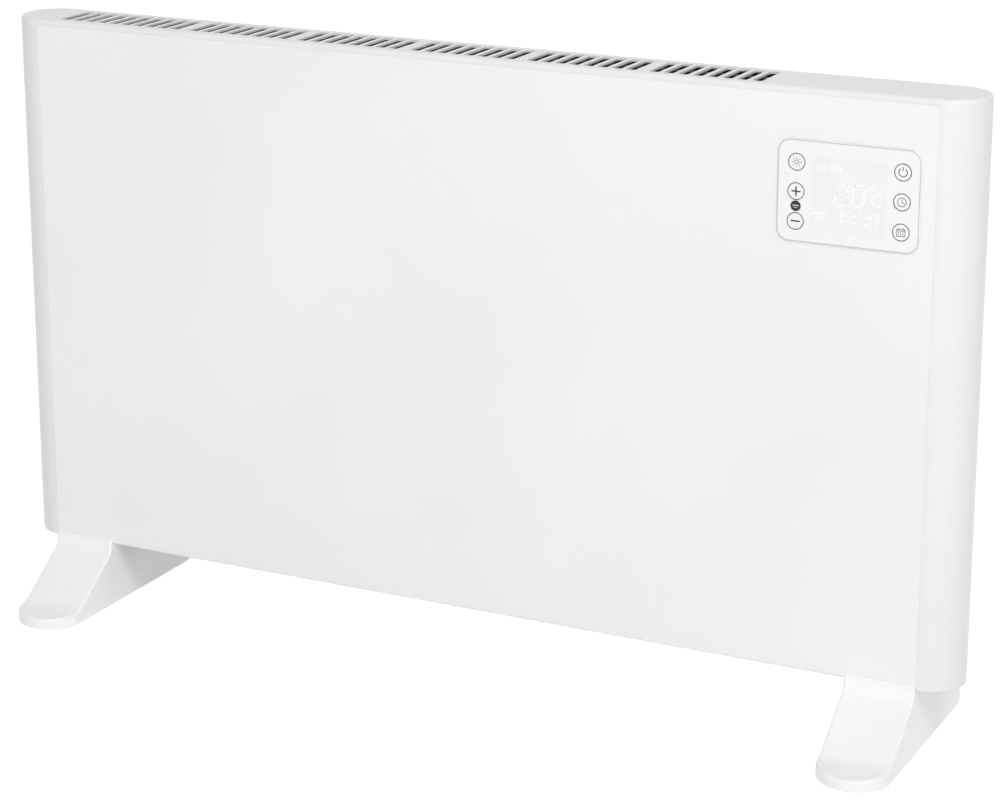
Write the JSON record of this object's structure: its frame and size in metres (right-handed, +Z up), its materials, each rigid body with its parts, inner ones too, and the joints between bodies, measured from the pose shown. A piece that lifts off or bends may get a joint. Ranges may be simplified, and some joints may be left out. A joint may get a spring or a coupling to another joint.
{
  "type": "panel convector heater",
  "caption": "Slim white panel convector heater with half-round ends, slotted top grille, touch control window and two splayed feet.",
  "frame": {"origin": "on the floor under the middle of the body", "axes": "+X to the right as seen from the front, front faces -Y, +Z up"},
  "size_m": [0.7474, 0.196, 0.4535],
  "materials": {
    "white_steel": "gloss white enamel",
    "white_plastic": "satin white",
    "window_white": "gloss white behind clear lacquer",
    "grey_plastic": "satin mid grey",
    "black_plastic": "matt black",
    "gloss_black": "gloss black",
    "zinc_steel": "zinc plated",
    "aluminium": "as extruded",
    "foil": "bright sheet",
    "rod_steel": "heat-tinted steel",
    "brass": "bright",
    "ceramic": "glazed ceramic",
    "rubber": "matt",
    "foam": "conductive foam",
    "board_green": "solder mask",
    "relay_blue": "satin",
    "coil_yellow": "tape over copper windings",
    "copper": "enamelled wire",
    "header_cream": "natural nylon",
    "lead_red": "silicone insulation",
    "lead_brown": "PVC insulation",
    "lead_green": "green and yellow PVC insulation",
    "lead_grey": "grey PVC insulation"
  },
  "bodies": {
    "body": {"front_panel": "white_steel", "rear_panel": "white_steel", "bottom_tray": "white_steel", "left_end_cap": "white_plastic", "right_end_cap": "white_plastic", "top_grille": "white_plastic", "left_foot": "white_plastic", "right_foot": "white_plastic", "foot_pads": "rubber", "foot_screws": "zinc_steel", "foot_nuts": "zinc_steel", "housing_screws": "zinc_steel", "touch_window": "window_white", "window_gasket": "foam", "display_studs": "zinc_steel", "display_holder": "white_plastic", "display_board": "board_green", "display_nuts": "zinc_steel", "display_module": "black_plastic", "touch_pads": "foam", "buzzer": "gloss_black", "wireless_module": "zinc_steel", "power_board": "board_green", "board_standoffs": "brass", "board_screws": "zinc_steel", "relays": "relay_blue", "transformer": "coil_yellow", "capacitors": "gloss_black", "filter_choke": "copper", "board_fuse": "zinc_steel", "triac_heatsink": "aluminium", "board_connectors": "header_cream", "mains_terminal_block": "header_cream", "cord_gland": "black_plastic", "element_fins": "aluminium", "element_tube": "rod_steel", "element_insulators": "ceramic", "element_terminals": "brass", "element_brackets": "zinc_steel", "heat_shield": "foil", "control_partition": "zinc_steel", "partition_grommet": "rubber", "overheat_thermostat": "black_plastic", "thermal_fuse": "zinc_steel", "fuse_clip": "white_plastic", "inner_screws": "zinc_steel", "room_sensor": "gloss_black", "sensor_clip": "grey_plastic", "rocker_switch_body": "black_plastic", "rocker_terminals": "brass", "tip_switch_housing": "grey_plastic", "tip_switch_pin": "zinc_steel", "mains_leads": "lead_brown", "earth_lead": "lead_green", "element_leads": "lead_red", "display_cable": "lead_grey", "sensor_lead": "lead_grey"},
    "rocker": {"rocker": "gloss_black"},
    "tip_pendulum": {"tip_switch_pendulum": "zinc_steel"}
  },
  "joints": [
    {"name": "rocker_tilt", "type": "hinge", "parent": "body", "child": "rocker", "pos_m": [0.3104, 0.024, 0.1235], "axis": [1, 0, 0], "range_deg": [-24, 0]},
    {"name": "pendulum_swing", "type": "hinge", "parent": "body", "child": "tip_pendulum", "pos_m": [0.229, 0, 0.0955], "axis": [1, 0, 0], "range_deg": [-28, 28]}
  ]
}
